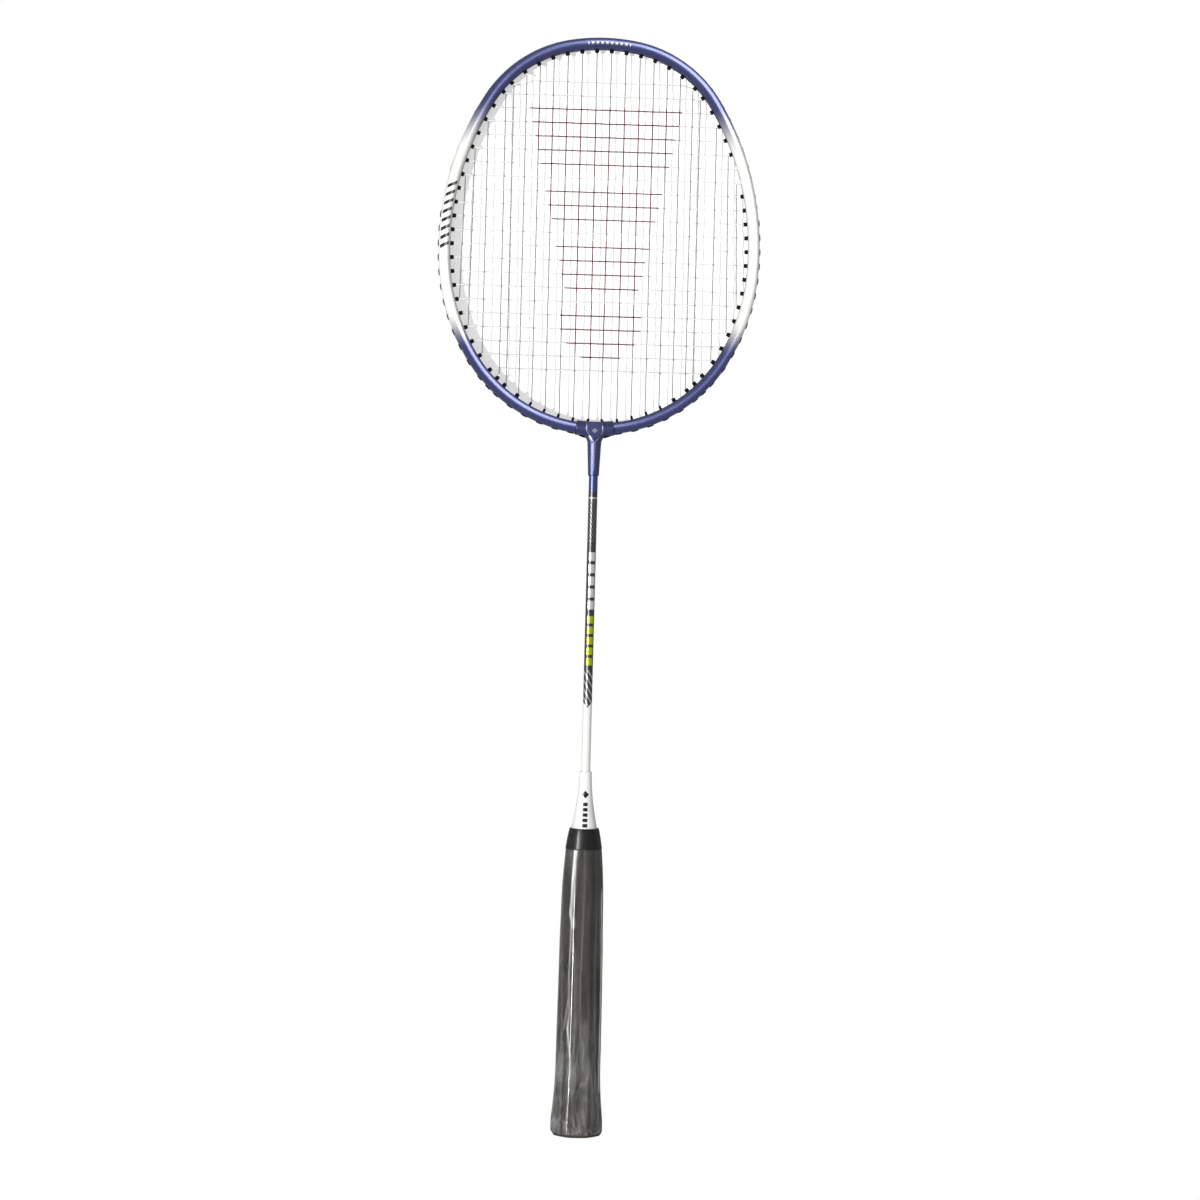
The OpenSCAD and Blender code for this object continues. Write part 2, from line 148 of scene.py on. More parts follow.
def hole_angle(k):
    """The angle of the k-th hole from the top, whose inner tip stands on its string's line."""
    if k == JOINT_HOLE:
        return 180 - math.degrees(math.asin(JOINT_HOLE_X / MIDDLE_R[LAST_ARC]))
    above, below = k <= LAST_TOP_HOLE, k > LAST_SIDE_HOLE
    first, last = (0, 1) if above else (3, LAST_ARC) if below else (1, LAST_ARC)
    for arc in range(first, last + 1):
        tip_r = MIDDLE_R[arc] - TIP_DEPTH
        if above or below:
            reach = (main_x(line_of(k)) - centres[arc].x) / tip_r
            angle = math.degrees(math.asin(max(-1, min(1, reach))))
            angle = 180 - angle if below else angle
        else:
            reach = (cross_z(LAST_SIDE_HOLE - k) - centres[arc].y) / tip_r
            angle = math.degrees(math.acos(max(-1, min(1, reach))))
        if within(angle, arc):
            return angle
    raise ValueError(f"hole {k} has no place on the hoop")


hole_angles = {k: hole_angle(k) for k in range(1, HOLES + 1)}


def aim(k):
    return 180 - JOINT_SPLAY if k == JOINT_HOLE else hole_angles[k]


def along(k, side, depth):
    """The point at a depth along a hole's axis, outward from the hoop's middle line."""
    spot = on_hoop(hole_angles[k]) + depth * toward(aim(k))
    return Vector((side * spot.x, spot.y))


def seat_of(k):
    return JOINT_SEAT if k == JOINT_HOLE else SEAT


def tip_of(k):
    return JOINT_TIP_DEPTH if k == JOINT_HOLE else TIP_DEPTH


# ---- the bench: ways to start, choose, shape and finish a piece
def clear():
    if bpy.context.mode != "OBJECT":
        bpy.ops.object.mode_set(mode="OBJECT")
    bpy.ops.object.select_all(action="DESELECT")


def only(*pieces):
    clear()
    for piece in pieces:
        piece.select_set(True)
    bpy.context.view_layer.objects.active = pieces[0]


def start(add, name, **how):
    """Adds a primitive and opens it in edit mode, all selected."""
    clear()
    add(**how)
    piece = bpy.context.active_object
    piece.name = name
    bpy.ops.object.mode_set(mode="EDIT")
    return piece


def choose(test, kind="VERT"):
    """Selects the corners, or the faces, that pass a test of their place."""
    bpy.ops.mesh.select_mode(type=kind)
    bpy.ops.mesh.select_all(action="DESELECT")
    mesh = bmesh.from_edit_mesh(bpy.context.object.data)
    if kind == "FACE":
        for face in mesh.faces:
            face.select_set(test(face.calc_center_median()))
    else:
        for corner in mesh.verts:
            corner.select_set(test(corner.co))
        mesh.select_flush(True)
    bmesh.update_edit_mesh(bpy.context.object.data)


def raise_rings(rings):
    """Extrudes the chosen face from ring to ring; each ring is (height, half width)."""
    for (low, wide), (high, next_wide) in zip(rings, rings[1:]):
        bpy.ops.mesh.extrude_region_move(TRANSFORM_OT_translate={"value": (0, 0, high - low)})
        grow = next_wide / wide
        bpy.ops.transform.resize(value=(grow, grow, 1), center_override=(0, 0, high))


def turned(name, rings, sides=64):
    """A closed round piece raised from a disc, ring by ring."""
    piece = start(bpy.ops.mesh.primitive_circle_add, name, vertices=sides, radius=rings[0][1],
                  fill_type="NGON", location=(0, 0, rings[0][0]))
    place_now(piece)
    bpy.ops.object.mode_set(mode="EDIT")
    bpy.ops.mesh.select_all(action="SELECT")
    raise_rings(rings)
    tidy_mesh()
    return piece


def place_now(piece):
    only(piece)
    bpy.ops.object.transform_apply(location=True, rotation=True, scale=True)


def tidy_mesh():
    """Merges doubles and turns the faces outward."""
    bpy.ops.mesh.select_all(action="SELECT")
    bpy.ops.mesh.remove_doubles(threshold=0.001)
    bpy.ops.mesh.normals_make_consistent(inside=False)
    bpy.ops.object.mode_set(mode="OBJECT")


def shape_with(piece, kind, **settings):
    """Adds a modifier with these settings and applies it."""
    only(piece)
    modifier = piece.modifiers.new(kind.lower(), kind)
    for name, value in settings.items():
        setattr(modifier, name, value)
    bpy.ops.object.modifier_apply(modifier=modifier.name)


def copy_of(piece, name):
    only(piece)
    bpy.ops.object.duplicate(linked=False)
    copy = bpy.context.active_object
    copy.name = name
    return copy


def join(name, parts):
    only(*parts)
    if len(parts) > 1:
        bpy.ops.object.join()
    piece = bpy.context.active_object
    piece.name = name
    return piece


def finished(piece, slot, finish, *nodes, angle=40):
    """Brings a piece to metres at the origin, gives it its finish, and hangs it on the body."""
    piece.matrix_world = Matrix.Scale(MM, 4) @ piece.matrix_world
    place_now(piece)
    bpy.ops.object.shade_smooth_by_angle(angle=math.radians(angle))
    piece.data.materials.clear()
    piece.data.materials.append(finish)
    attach(piece, BODY)
    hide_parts(*nodes)
    return piece


# ---- finishes
class Nodes:
    """A node tree, grown by naming each node's kind and what goes into it."""

    def __init__(self, tree):
        self.tree = tree

    def put(self, socket, value):
        if isinstance(value, bpy.types.NodeSocket):
            self.tree.links.new(value, socket)
        else:
            socket.default_value = value

    def node(self, kind, inputs, out=0, **settings):
        made = self.tree.nodes.new("ShaderNode" + kind)
        for name, value in settings.items():
            setattr(made, name, value)
        named = inputs.items() if isinstance(inputs, dict) else enumerate(inputs)
        for key, value in named:
            self.put(made.inputs[key], value)
        return made.outputs[out]

    def math(self, operation, *values):
        return self.node("Math", values, operation=operation)


def with_alpha(value):
    """A colour as a socket takes it; any other value as it is."""
    return (*value, 1) if isinstance(value, tuple) and len(value) == 3 else value


class Finish(Nodes):
    """A procedural finish on the piece's own coordinates, which it reads in millimetres."""

    def __init__(self, name, **constants):
        self.material = bpy.data.materials.new(name)
        self.material.use_nodes = True
        super().__init__(self.material.node_tree)
        self.shader = self.tree.nodes["Principled BSDF"]
        for socket, value in constants.items():
            self.shader.inputs[socket.replace("_", " ")].default_value = value
        coords = self.tree.nodes.new("ShaderNodeTexCoord").outputs["Object"]
        self.place = self.node("VectorMath", {"Vector": coords, "Scale": 1 / MM}, operation="SCALE")
        self.split = self.tree.nodes.new("ShaderNodeSeparateXYZ")
        self.tree.links.new(self.place, self.split.inputs[0])
        self.x, self.y, self.z = self.split.outputs

    def length(self, first, second):
        """How far a point stands from zero along two directions together."""
        squares = (self.math("MULTIPLY", value, value) for value in (first, second))
        return self.math("SQRT", self.math("ADD", *squares))

    def rise(self, value, low, high):
        """0 below low, 1 above high, and smooth between."""
        inputs = {"Value": value, "From Min": low, "From Max": high}
        return self.node("MapRange", inputs, interpolation_type="SMOOTHSTEP")

    def line(self, value, low, high, start, end):
        inputs = {"Value": value, "From Min": low, "From Max": high, "To Min": start, "To Max": end}
        return self.node("MapRange", inputs)

    def band(self, value, low, high, soft=0.1):
        """1 from low to high, and 0 outside."""
        up = self.rise(value, low - soft, low + soft)
        down = self.rise(value, high + soft, high - soft)
        return self.math("MULTIPLY", up, down)

    def both(self, first, *rest):
        for other in rest:
            first = self.math("MULTIPLY", first, other)
        return first

    def either(self, first, *rest):
        for other in rest:
            first = self.math("MAXIMUM", first, other)
        return first

    def bars(self, value, pitch, share, start=0.0):
        """Repeated bars along a value: each fills a share of the pitch."""
        phase = self.math("FRACT", self.math("DIVIDE", self.math("SUBTRACT", value, start), pitch))
        return self.band(phase, (1 - share) / 2, (1 + share) / 2, 0.03)

    def mix(self, share, first, second):
        """A colour that turns from the first to the second as the share rises."""
        made = self.tree.nodes.new("ShaderNodeMix")
        made.data_type = "RGBA"
        for key, value in ((0, share), (6, first), (7, second)):
            self.put(made.inputs[key], with_alpha(value))
        return made.outputs[2]

    def noise(self, scale, stretch=(1, 1, 1), detail=3.0):
        spread = self.node("Mapping", {"Vector": self.place, "Scale": stretch})
        return self.node("TexNoise", {"Vector": spread, "Scale": scale, "Detail": detail})

    def cells(self, scale, stretch=(1, 1, 1)):
        spread = self.node("Mapping", {"Vector": self.place, "Scale": stretch})
        return self.node("TexVoronoi", {"Vector": spread, "Scale": scale})

    def set(self, **sockets):
        for socket, value in sockets.items():
            self.put(self.shader.inputs[socket.replace("_", " ")], with_alpha(value))

    def bump(self, height, depth, strength=1.0):
        """Raises the surface by a height map of this depth in millimetres."""
        inputs = {"Height": height, "Distance": depth * MM, "Strength": strength}
        self.put(self.shader.inputs["Normal"], self.node("Bump", inputs))


BLUE = (0.08, 0.094, 0.27)
DEEP_BLUE = (0.058, 0.067, 0.2)
WHITE = (0.83, 0.82, 0.79)
SILVER = (0.4, 0.42, 0.44)
BLACK = (0.012, 0.012, 0.014)


def blue_lacquer(finish):
    """The colour of the metallic blue, with its flake and slow drift of tone."""
    drift = finish.noise(0.03)
    flake = finish.noise(9.0, detail=1.0)
    tone = finish.mix(drift, DEEP_BLUE, BLUE)
    return finish.mix(finish.rise(flake, 0.58, 0.75), tone, (0.16, 0.18, 0.4))


def hoop_finish():
    made = Finish("hoop_lacquer", Coat_Weight=0.8, Coat_Roughness=0.28)
    white = made.both(made.rise(made.z, 478, 500), made.rise(made.z, 630, 599))
    side = centres[2]
    reach_x = made.math("SUBTRACT", made.math("ABSOLUTE", made.x), side.x)
    reach_z = made.math("SUBTRACT", made.z, side.y)
    across = made.math("SUBTRACT", made.length(reach_x, reach_z), MIDDLE_R[2])
    front = made.rise(made.y, -1.5, -2.5)
    slanted = made.math("ADD", made.z, made.math("MULTIPLY", across, 0.5))
    bars = made.both(made.bars(slanted, 5.25, 0.4, 538), made.band(across, -2.7, 2.5, 0.15),
                     made.band(made.z, 538, 580), front, made.rise(made.x, 0, -1))
    top = made.math("SUBTRACT", made.z, TOTAL_LENGTH - HALF_W - 0.2)
    bowed = made.math("ADD", top, made.math("DIVIDE", made.math("MULTIPLY", made.x, made.x),
                                            2 * MIDDLE_R[0]))
    ticks = made.both(made.bars(made.x, 2.9, 0.5), made.band(made.x, -10.2, 15.9),
                      made.band(bowed, -0.75, 0.75), front)
    colour = made.mix(white, blue_lacquer(made), WHITE)
    colour = made.mix(bars, colour, BLACK)
    colour = made.mix(made.math("MULTIPLY", ticks, 0.7), colour, WHITE)
    plain = made.math("SUBTRACT", 1.0, white)
    made.set(Base_Color=colour, Metallic=made.math("MULTIPLY", plain, 0.55),
             Roughness=made.line(made.noise(0.15), 0, 1, 0.3, 0.42))
    made.bump(made.noise(1.6), 0.02)
    return made.material


def joint_finish():
    made = Finish("joint_lacquer", Coat_Weight=0.8, Coat_Roughness=0.25)
    wide = made.math("ABSOLUTE", made.x)
    shield_foot, shield_waist, shield_top = BOTTOM_Z - 4.2, BOTTOM_Z + 1.8, BOTTOM_Z + 5.4
    half = made.line(made.z, shield_foot, shield_waist, 0.9, 4.9)
    off = made.math("ABSOLUTE", made.math("SUBTRACT", wide, half))
    edge = made.both(made.rise(off, 0.5, 0.25), made.band(made.z, shield_foot, shield_top))
    taper = made.line(made.z, STEM_FOOT_Z + 3, shield_foot, 0.25, 0.9)
    streak = made.both(made.rise(made.math("SUBTRACT", wide, taper), 0.12, -0.12),
                       made.band(made.z, STEM_FOOT_Z + 3, shield_foot + 0.4))
    diamond = made.math("ADD", wide, made.math("ABSOLUTE", made.math("SUBTRACT", made.z,
                                                                     BOTTOM_Z + 2.2)))
    mark = made.rise(diamond, 1.9, 1.5)
    trim = made.either(edge, made.math("MULTIPLY", streak, 0.5), made.math("MULTIPLY", mark, 0.9))
    facing = made.rise(made.math("ABSOLUTE", made.y), 1.6, 2.4)
    trim = made.both(trim, facing)
    # Painted shade: a dark band at each end of the sleeve and round the stem's foot, where the steps
    # would fall in shade.
    painted_seam_shade = made.either(made.band(wide, SLEEVE_HALF - 0.5, SLEEVE_HALF + 0.5, 0.3),
                       made.band(made.z, STEM_FOOT_Z - 0.5, STEM_FOOT_Z + 0.5, 0.2))
    colour = made.mix(trim, blue_lacquer(made), SILVER)
    colour = made.mix(made.math("MULTIPLY", painted_seam_shade, 0.7), colour, (0.015, 0.017, 0.06))
    made.set(Base_Color=colour, Metallic=0.6,
             Roughness=made.line(made.noise(0.2), 0, 1, 0.3, 0.42))
    made.bump(made.math("ADD", made.math("MULTIPLY", trim, 1.5), made.noise(1.4)), 0.05)
    return made.material


def shaft_finish():
    made = Finish("shaft_lacquer", Coat_Weight=0.8, Coat_Roughness=0.2)
    front = made.rise(made.y, 0.3, -0.3)
    wide = made.math("ABSOLUTE", made.x)
    blue = made.rise(made.z, 392.6, 393.2)
    point = made.math("SUBTRACT", made.z, made.math("MULTIPLY", wide, 1.3))
    dark = made.rise(point, 260.6, 261.4)
    white_bars = made.both(made.bars(made.z, 7.4, 0.72, 320), made.band(made.z, 320, 357),
                           made.band(made.x, -1.5, 2.3, 0.12), front)
    lime_bars = made.both(made.bars(made.z, 6.4, 0.7, 286), made.band(made.z, 286, 318),
                          made.band(made.x, -1.7, 2.1, 0.12), front)
    sloped = made.math("ADD", made.z, made.math("MULTIPLY", made.x, 1.8))
    slashes = made.both(made.bars(sloped, 5.2, 0.34), made.band(made.z, 262, 284))
    scratch = made.both(made.bars(sloped, 3.1, 0.2), made.band(made.z, 362, 389))
    rim = made.band(made.z, 388.6, 389.6)
    silver = made.either(slashes, made.math("MULTIPLY", scratch, 0.5), rim)
    grain = made.noise(1.2, (1, 1, 0.12))
    panel = made.mix(grain, (0.03, 0.03, 0.032), (0.1, 0.1, 0.098))
    panel = made.mix(silver, panel, (0.5, 0.5, 0.5))
    panel = made.mix(white_bars, panel, WHITE)
    panel = made.mix(lime_bars, panel, (0.55, 0.62, 0.04))
    colour = made.mix(dark, WHITE, panel)
    colour = made.mix(blue, colour, blue_lacquer(made))
    metal = made.math("MULTIPLY", made.either(dark, blue), 0.5)
    made.set(Base_Color=colour, Metallic=metal,
             Roughness=made.line(made.noise(0.2), 0, 1, 0.2, 0.36))
    made.bump(made.noise(2.0, (1, 1, 0.3)), 0.01)
    return made.material


def cone_finish():
    made = Finish("white_plastic", Coat_Weight=0.5, Coat_Roughness=0.08,
                  Subsurface_Weight=0.05, Subsurface_Scale=0.001)
    front = made.rise(made.y, -0.5, -1)
    bars = made.both(made.bars(made.z, 3.2, 0.66, 187.9), made.band(made.z, 187.9, 203.9),
                     made.band(made.x, -1.6, 1.6, 0.12), front)
    diamond = made.math("ADD", made.math("ABSOLUTE", made.x),
                        made.math("ABSOLUTE", made.math("SUBTRACT", made.z, 208.2)))
    mark = made.both(made.rise(diamond, 2.5, 2.2), front)
    tone = made.mix(made.noise(0.08), (0.82, 0.82, 0.81), (0.88, 0.88, 0.88))
    made.set(Base_Color=made.mix(made.either(bars, mark), tone, BLACK),
             Roughness=made.line(made.noise(0.3), 0, 1, 0.22, 0.36))
    made.bump(made.noise(0.9), 0.02)
    return made.material


def string_finish(name, dark, light):
    """Coated nylon, with a plain shuttlecock print in the middle of the bed."""
    made = Finish(name, Coat_Weight=0.3, Coat_Roughness=0.15)
    off = made.math("SUBTRACT", made.x, 2.0)
    wide = made.math("ABSOLUTE", off)
    cork_z, cork_r = 497, 25
    skirt_foot, skirt_top = 514, 628
    rise = made.math("SUBTRACT", made.z, cork_z)
    from_cork = made.length(off, rise)
    cork = made.both(made.rise(from_cork, cork_r + 0.4, cork_r - 0.4),
                     made.rise(made.z, cork_z + 11, cork_z + 10))
    half = made.line(made.z, skirt_foot, skirt_top, 22, 47)
    skirt = made.both(made.rise(made.math("SUBTRACT", wide, half), 0.3, -0.3),
                      made.band(made.z, skirt_foot, skirt_top, 0.3))
    hoops = made.either(made.band(made.z, 546, 551, 0.3), made.band(made.z, 580, 585, 0.3))
    print_mask = made.either(cork, made.both(skirt, made.math("SUBTRACT", 1.0, hoops)))
    worn = made.rise(made.noise(0.8), 0.25, 0.45)
    ink = made.both(print_mask, made.line(worn, 0, 1, 0.75, 1.0))
    tone = made.mix(made.noise(0.4), dark, light)
    made.set(Base_Color=made.mix(ink, tone, (0.15, 0.007, 0.02)),
             Roughness=made.line(made.noise(1.5), 0, 1, 0.32, 0.5))
    made.bump(made.noise(4.0), 0.02)
    return made.material


def nylon_finish(name, dark, light):
    made = Finish(name, Specular_IOR_Level=0.3)
    made.set(Base_Color=made.mix(made.noise(0.5), dark, light),
             Roughness=made.line(made.noise(1.2), 0, 1, 0.45, 0.6))
    made.bump(made.noise(2.5), 0.02)
    return made.material


def leatherette_finish():
    made = Finish("grip_leatherette", Specular_IOR_Level=0.35)
    grain = made.cells(1.4)
    pores = made.noise(3.5, detail=4.0)
    tone = made.mix(made.noise(0.05), (0.022, 0.02, 0.017), (0.08, 0.066, 0.05))
    tone = made.mix(made.rise(grain, 0.3, 0.05), tone, (0.02, 0.018, 0.015))
    made.set(Base_Color=tone, Roughness=made.line(pores, 0, 1, 0.42, 0.68))
    made.bump(made.math("ADD", grain, made.math("MULTIPLY", pores, 0.6)), 0.12, 0.8)
    return made.material


def film_finish():
    """Thin clear film, whiter where it is creased; the whitening along and beside its long fold is
    also a painted highlight.
    """
    made = Finish("clear_film", IOR=1.45)
    # This attribute whitens the film at folds and wrinkles, and adds a painted highlight along and
    # beside the long fold.
    crease = made.node("Attribute", {}, out=2, attribute_name="crease")
    haze = made.noise(0.12, (1, 1, 0.25))
    clear_share = made.math("SUBTRACT", made.line(haze, 0.35, 0.75, 0.995, 0.97),
                            made.math("MULTIPLY", crease, 0.8))
    tone = made.mix(haze, (0.86, 0.86, 0.84), (0.95, 0.95, 0.94))
    made.set(Base_Color=tone, Transmission_Weight=clear_share,
             Roughness=made.line(haze, 0, 1, 0.1, 0.22))
    made.bump(made.noise(0.22, (1, 1, 0.4), detail=1.5), 0.16, 0.6)
    return made.material


def rubber_finish():
    made = Finish("black_rubber", Coat_Weight=0.4, Coat_Roughness=0.15)
    made.set(Base_Color=made.mix(made.noise(0.3), (0.008, 0.008, 0.009), (0.016, 0.016, 0.017)),
             Roughness=made.line(made.noise(1.0, (1, 1, 0.4)), 0, 1, 0.24, 0.44))
    made.bump(made.noise(1.1, (1, 1, 0.5)), 0.06)
    return made.material


def plastic_finish():
    made = Finish("black_plastic", Specular_IOR_Level=0.4)
    made.set(Base_Color=made.mix(made.noise(0.4), (0.014, 0.014, 0.015), (0.03, 0.03, 0.032)),
             Roughness=made.line(made.noise(1.5), 0, 1, 0.38, 0.56))
    made.bump(made.noise(2.2), 0.05)
    return made.material


def wood_finish():
    made = Finish("pale_wood")
    rings = made.node("TexWave", {"Vector": made.node("Mapping", {"Vector": made.place,
                                                               "Scale": (1, 1, 0.04)}),
                                  "Scale": 0.35, "Distortion": 4.0, "Detail": 3.0})
    fibre = made.noise(1.5, (1, 1, 0.05))
    tone = made.mix(rings, (0.5, 0.33, 0.17), (0.68, 0.5, 0.31))
    made.set(Base_Color=made.mix(made.rise(fibre, 0.5, 0.8), tone, (0.4, 0.26, 0.13)),
             Roughness=made.line(fibre, 0, 1, 0.5, 0.75))
    made.bump(fibre, 0.08)
    return made.material


def metal_finish(name, dark, light, low, high):
    """Bare metal with drawing lines along its length."""
    made = Finish(name, Metallic=1.0)
    lines = made.noise(6.0, (0.1, 1, 1))
    made.set(Base_Color=made.mix(lines, dark, light), Roughness=made.line(lines, 0, 1, low, high))
    made.bump(lines, 0.02)
    return made.material


def label_finish():
    """Silver label with plain printed rings."""
    made = Finish("silver_label", Coat_Weight=0.4, Coat_Roughness=0.1)
    reach = made.length(made.x, made.y)
    rings = made.either(made.band(reach, 6.6, 7.0), made.band(reach, 3.2, 3.5))
    tone = made.mix(made.noise(2.0), (0.5, 0.5, 0.52), (0.66, 0.66, 0.68))
    made.set(Base_Color=made.mix(rings, tone, BLUE), Metallic=0.7,
             Roughness=made.line(made.noise(1.0), 0, 1, 0.3, 0.45))
    made.bump(made.noise(3.0), 0.01)
    return made.material


# ---- the hoop: a grooved section spun through its arcs, one after another
def spin_arc(centre, turn, pitch=1.5):
    bpy.ops.mesh.spin(steps=max(2, round(abs(turn) / pitch)), angle=-math.radians(turn),
                      center=(centre.x, 0, centre.y), axis=(0, 1, 0))


def stadium(name, half_width, at_z, segments=8):
    """A filled stadium section across the hoop at its top or bottom, open for shaping."""
    deep = TUBE_D / 2 - HALF_W
    piece = start(bpy.ops.mesh.primitive_plane_add, name, size=2, location=(0, 0, at_z),
                  rotation=(0, math.pi / 2, 0))
    piece.scale = (half_width, half_width + deep, 1)
    place_now(piece)
    bpy.ops.object.mode_set(mode="EDIT")
    bpy.ops.mesh.select_all(action="SELECT")
    bpy.ops.mesh.bevel(offset=half_width * 0.999, segments=segments, affect="VERTICES")
    return piece


def hoop():
    middle_z = TOTAL_LENGTH - HALF_W
    piece = stadium("hoop", HALF_W, middle_z, 9)
    outer_z = middle_z + HALF_W - GROOVE_DEPTH
    for plane, normal in (((0, GROOVE_W / 2, 0), (0, 1, 0)), ((0, -GROOVE_W / 2, 0), (0, 1, 0)),
                          ((0, 0, outer_z), (0, 0, 1))):
        bpy.ops.mesh.select_all(action="SELECT")
        bpy.ops.mesh.bisect(plane_co=plane, plane_no=normal, threshold=0.0001)
    choose(lambda co: abs(co.y) < GROOVE_W / 2 and co.z > outer_z, "FACE")
    bpy.ops.mesh.delete(type="FACE")
    bpy.ops.mesh.select_all(action="SELECT")
    bpy.ops.mesh.dissolve_faces()
    choose(lambda co: abs(abs(co.y) - GROOVE_W / 2) < 0.01 and co.z > outer_z + 0.3)
    bpy.ops.mesh.bevel(offset=0.18, segments=2, affect="VERTICES")
    bpy.ops.mesh.select_mode(type="EDGE")
    bpy.ops.mesh.select_all(action="SELECT")
    bpy.ops.mesh.delete(type="ONLY_FACE")
    bpy.ops.mesh.select_all(action="SELECT")
    turns = [(centres[i], ARC_ENDS[i + 1] - ARC_ENDS[i]) for i in range(LAST_ARC)]
    for centre, turn in turns:
        spin_arc(centre, turn)
    spin_arc(centres[LAST_ARC], 2 * (180 - ARC_ENDS[LAST_ARC]))
    for centre, turn in reversed(turns):
        spin_arc(Vector((-centre.x, centre.y)), turn)
    tidy_mesh()
    return finished(piece, "hoop_lacquer", hoop_finish(), "head_frame", angle=50)


# ---- the T-joint: a sleeve and a flared stem, grown together
def t_joint():
    sleeve_r = HALF_W + SLEEVE_WALL
    reach = math.degrees(SLEEVE_HALF / MIDDLE_R[LAST_ARC])
    step = math.degrees(0.4 / MIDDLE_R[LAST_ARC])
    bottom = centres[LAST_ARC].y - MIDDLE_R[LAST_ARC]
    parts = []
    for half_turn, radius in ((reach, sleeve_r - 0.3), (reach - step, sleeve_r)):
        sleeve = stadium("sleeve", radius, bottom, 10)
        bpy.ops.mesh.select_mode(type="FACE")
        bpy.ops.mesh.select_all(action="SELECT")
        bpy.ops.mesh.spin(steps=8, angle=math.radians(half_turn),
                          center=(0, 0, centres[LAST_ARC].y), axis=(0, 1, 0))
        choose(lambda co: abs(co.x) < 0.01, "FACE")
        bpy.ops.mesh.delete(type="FACE")
        tidy_mesh()
        shape_with(sleeve, "MIRROR", use_axis=(True, False, False))
        parts.append(sleeve)
    web_r, foot_r, neck_r = 5.5, 3.35, 4.2
    piece = start(bpy.ops.mesh.primitive_circle_add, "t_joint", vertices=48, radius=foot_r,
                  fill_type="NGON", location=(0, 0, STEM_FOOT_Z))
    place_now(piece)
    bpy.ops.object.mode_set(mode="EDIT")
    bpy.ops.mesh.select_all(action="SELECT")
    raise_rings([(STEM_FOOT_Z, foot_r), (BOTTOM_Z - web_r, neck_r)])
    wide = neck_r
    steps = 8
    for i in range(1, steps + 1):
        part = i / steps
        next_wide = neck_r + web_r * (1 - math.sqrt(1 - (part * 0.985) ** 2))
        bpy.ops.mesh.extrude_region_move(TRANSFORM_OT_translate={"value": (0, 0, web_r / steps)})
        height = BOTTOM_Z - web_r + web_r * part
        bpy.ops.transform.resize(value=(next_wide / wide, 0.975, 1), center_override=(0, 0, height))
        wide = next_wide
    bpy.ops.mesh.extrude_region_move(TRANSFORM_OT_translate={"value": (0, 0, 2.4)})
    tidy_mesh()
    parts.insert(0, piece)
    for y in (-1, 1):
        plate = start(bpy.ops.mesh.primitive_cube_add, "plate", size=1,
                      location=(0, y * 5.65, BOTTOM_Z + 5.2))
        plate.scale = (10.6, 0.9, 4.6)
        place_now(plate)
        bpy.ops.object.mode_set(mode="EDIT")
        choose(lambda co: co.z < BOTTOM_Z + 4)
        bpy.ops.mesh.extrude_region_move(TRANSFORM_OT_translate={"value": (0, -y * 0.6, -5)})
        bpy.ops.transform.resize(value=(0.3, 1, 1), center_override=(0, 0, BOTTOM_Z))
        tidy_mesh()
        parts.append(plate)
    piece = join("t_joint_shell", parts)
    shape_with(piece, "REMESH", mode="VOXEL", voxel_size=0.2, use_smooth_shade=True)
    shape_with(piece, "SMOOTH", factor=0.5, iterations=2)
    return finished(piece, "joint_lacquer", joint_finish(), "t_joint", angle=70)


# ---- grommets: one is turned, and copied to every hole
def grommet_pattern(tip, head, stub):
    """A grommet on the hoop's middle line: its inner tip, its head's height, its stub's radius."""
    rings = [
        (1 - tip, 0.45), (-tip, 0.45), (-tip, stub - 0.15), (0.2 - tip, stub), (-3.6, stub + 0.1),
        (-3.3, 1.1), (2.75, 1.1), (2.8, 1.62), (2.95, 1.7), (head - 0.5, 1.7),
        (head - 0.2, 1.5), (head - 0.02, 1.05), (head, 0.7), (head - 0.1, 0.6), (head - 0.4, 0.6),
    ]
    piece = turned("grommet", rings, sides=16)
    only(piece)
    bpy.ops.object.mode_set(mode="EDIT")
    choose(lambda co: co.z > 2.78)
    bpy.ops.transform.resize(value=(1.3, 1, 1), center_override=(0, 0, head))
    tidy_mesh()
    return piece


def kind_of(k):
    """Upper heads lie flush, lower heads stand proud, and the lowest stubs are slender."""
    if k == JOINT_HOLE:
        return "joint"
    return "flush" if k <= LAST_FLUSH_HOLE else "stout" if k <= LAST_STOUT_HOLE else "slender"


def grommets(patterns, name, spots, slot, finish):
    """Copies of the grommets at these (hole, side) spots, joined as one strip of fittings."""
    copies = []
    for k, side in spots:
        one = copy_of(patterns[kind_of(k)], name)
        spot = along(k, side, seat_of(k) - SEAT)
        one.location = (spot.x, 0, spot.y)
        one.rotation_euler = (0, math.radians(side * aim(k)), 0)
        copies.append(one)
    piece = join(name + "_set", copies)
    finished(piece, slot, finish, name, angle=35)


